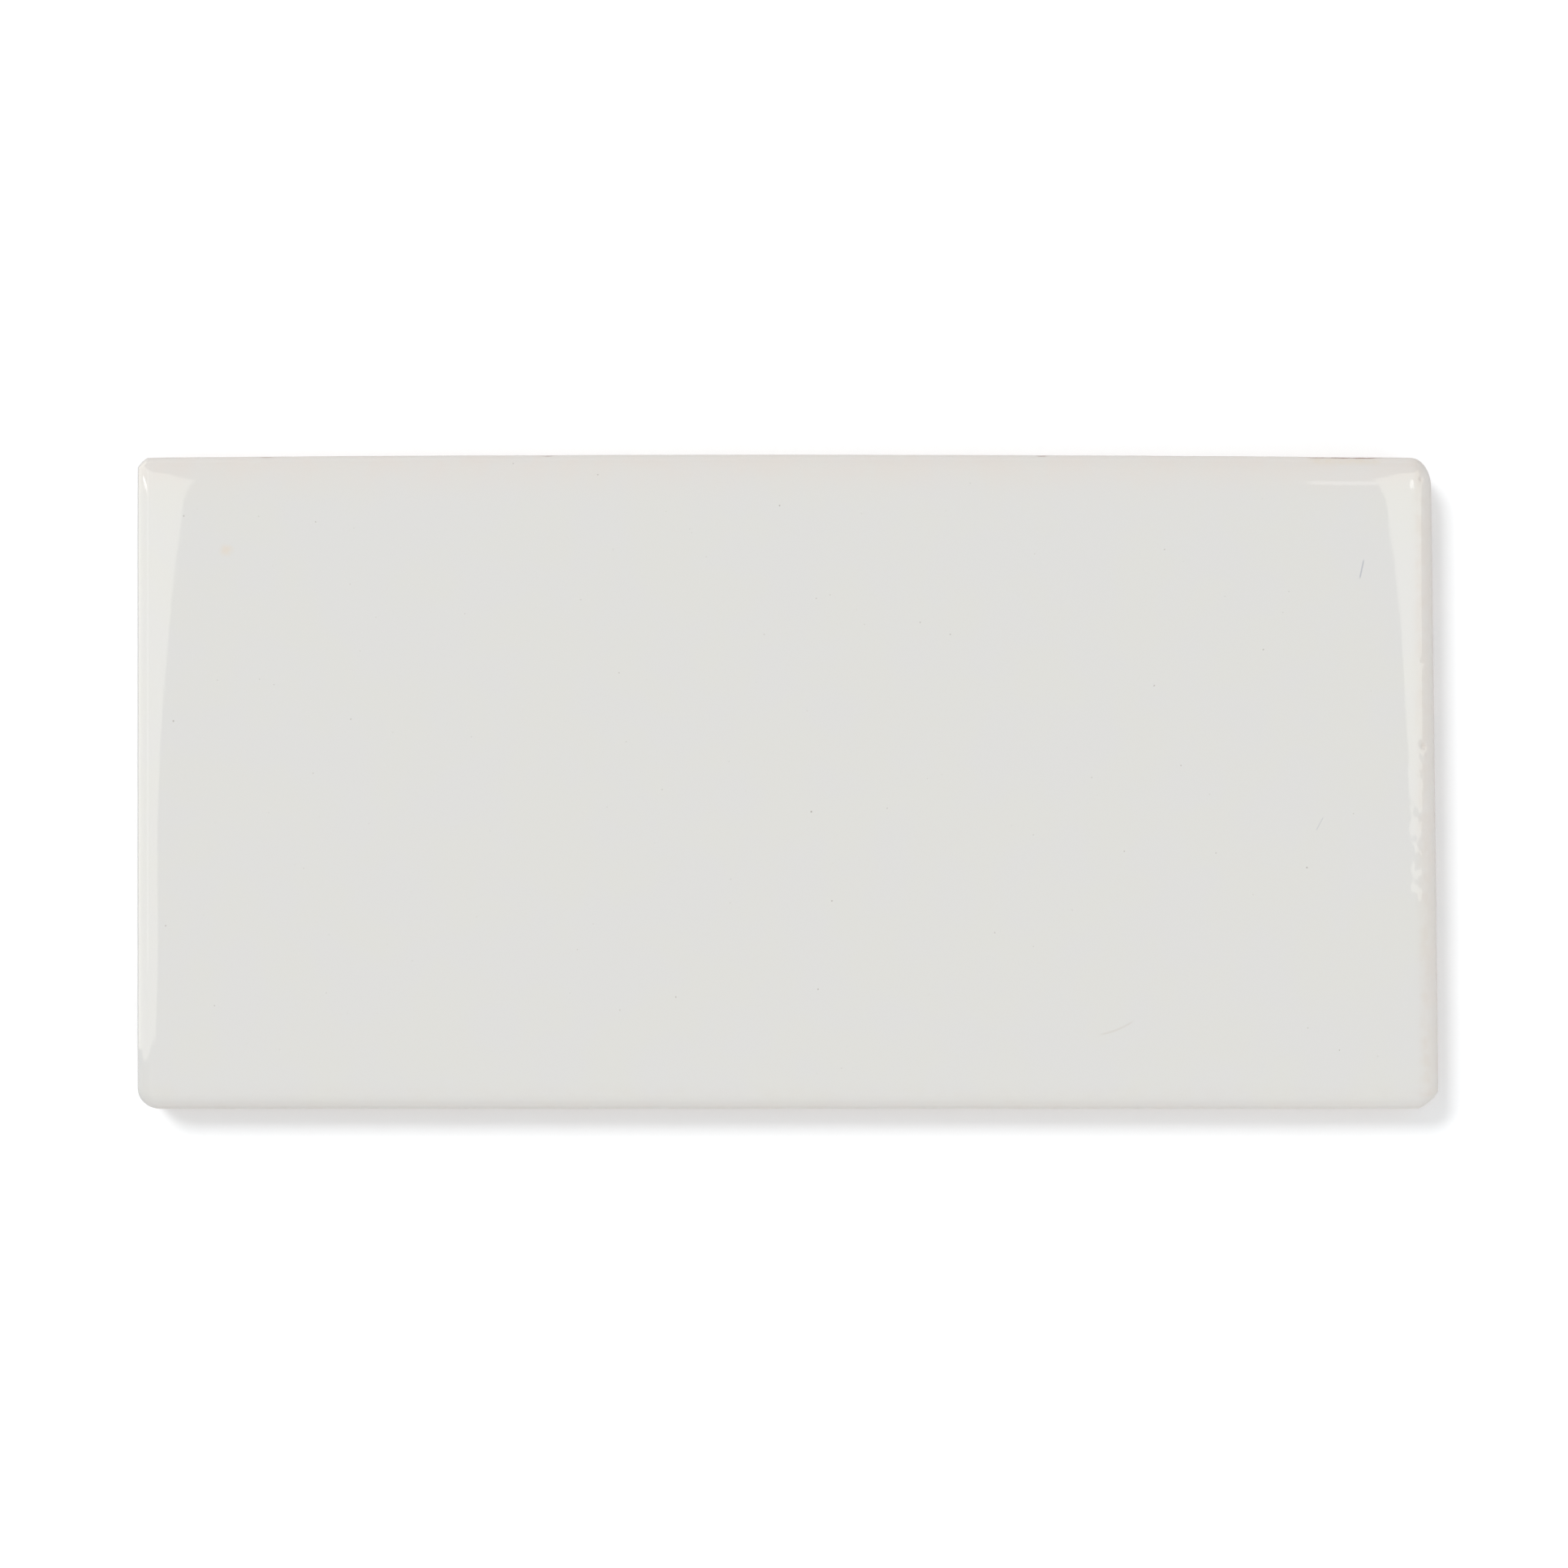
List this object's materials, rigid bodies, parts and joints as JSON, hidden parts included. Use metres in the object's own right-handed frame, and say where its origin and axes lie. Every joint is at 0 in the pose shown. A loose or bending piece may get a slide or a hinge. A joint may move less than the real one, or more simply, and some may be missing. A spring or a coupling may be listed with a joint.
{
  "type": "glazed ceramic tile",
  "caption": "Thin rectangular ceramic wall tile, twice as long as wide, with a glossy off-white glaze rolled over its edges and a grooved clay back.",
  "frame": {"origin": "centre of the tile's outline, in the plane of the back that is bonded to the wall", "axes": "+X along the tile's length, +Y across it and +Z out of the glazed face"},
  "size_m": [0.1524, 0.0766, 0.0095],
  "materials": {
    "bisque": "matte",
    "engobe": "matte",
    "glaze": "gloss"
  },
  "bodies": {
    "root": {"clay_body": "bisque", "engobe_coat": "engobe", "glaze_coat": "glaze"}
  },
  "joints": []
}
